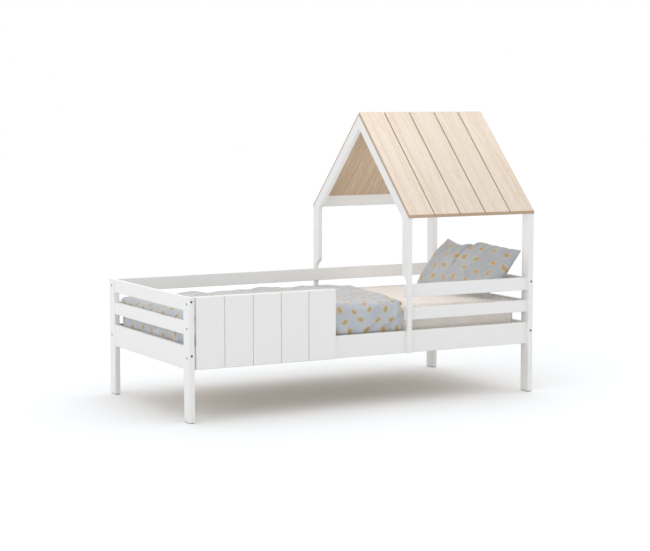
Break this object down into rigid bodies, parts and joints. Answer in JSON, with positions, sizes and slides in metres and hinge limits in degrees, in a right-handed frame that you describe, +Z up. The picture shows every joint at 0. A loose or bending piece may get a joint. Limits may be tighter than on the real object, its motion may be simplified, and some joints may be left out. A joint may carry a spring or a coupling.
{
  "type": "house frame bed",
  "caption": "Child's single bed with a house-shaped plank roof over the pillow end, a board fence, guard rails, a slatted base, mattress and bedding.",
  "frame": {"origin": "on the floor, under the middle of the bed's overall box", "axes": "+X from the foot end to the head end under the roof, +Y from the entry side to the far side, +Z up"},
  "size_m": [1.69, 0.874, 1.256],
  "materials": {
    "white_lacquer": "satin",
    "roof_pine": "matte",
    "plain_pine": "matte",
    "screw_steel": "satin",
    "glide_plastic": "matte",
    "mattress_cover": "matte",
    "sheet_cotton": "matte",
    "quilt_cotton": "matte",
    "pillow_cotton": "matte"
  },
  "bodies": {
    "frame": {"post_foot_near": "white_lacquer", "post_head_near": "white_lacquer", "mid_post_near": "white_lacquer", "post_foot_far": "white_lacquer", "post_head_far": "white_lacquer", "mid_post_far": "white_lacquer", "foot_rail_top": "white_lacquer", "foot_rail_mid": "white_lacquer", "foot_rail_bottom": "white_lacquer", "head_rail_top": "white_lacquer", "head_rail_mid": "white_lacquer", "head_rail_bottom": "white_lacquer", "far_rail_top": "white_lacquer", "far_rail_mid": "white_lacquer", "far_rail_bottom": "white_lacquer", "near_rail_bottom": "white_lacquer", "guard_rail_top": "white_lacquer", "guard_rail_mid": "white_lacquer", "fence_rail_top": "white_lacquer", "fence_rail_mid": "white_lacquer", "fence_board_1": "white_lacquer", "fence_board_2": "white_lacquer", "fence_board_3": "white_lacquer", "fence_board_4": "white_lacquer", "fence_board_5": "white_lacquer", "rafter_foot_near": "white_lacquer", "rafter_foot_far": "white_lacquer", "rafter_head_near": "white_lacquer", "rafter_head_far": "white_lacquer", "eave_beam_near": "white_lacquer", "eave_beam_far": "white_lacquer", "ridge_beam": "white_lacquer", "roof_board_near_1": "roof_pine", "roof_board_near_2": "roof_pine", "roof_board_near_3": "roof_pine", "roof_board_near_4": "roof_pine", "roof_board_near_5": "roof_pine", "roof_board_far_1": "roof_pine", "roof_board_far_2": "roof_pine", "roof_board_far_3": "roof_pine", "roof_board_far_4": "roof_pine", "roof_board_far_5": "roof_pine", "slat_bearer_near": "plain_pine", "slat_bearer_far": "plain_pine", "slats": "plain_pine", "side_rail_screws": "screw_steel", "end_rail_screws": "screw_steel", "floor_glides": "glide_plastic"},
    "mattress": {"mattress": "mattress_cover", "fitted_sheet": "sheet_cotton"},
    "duvet": {"duvet": "quilt_cotton"},
    "pillow": {"pillow": "pillow_cotton"}
  },
  "joints": [
    {"name": "mattress_lift", "type": "slide", "parent": "frame", "child": "mattress", "axis": [0, 0, 1], "range_m": [0, 0.15]},
    {"name": "duvet_lift", "type": "slide", "parent": "mattress", "child": "duvet", "axis": [0, 0, 1], "range_m": [0, 0.15]},
    {"name": "pillow_slide", "type": "slide", "parent": "mattress", "child": "pillow", "axis": [-1, 0, 0], "range_m": [0, 0.2]}
  ]
}
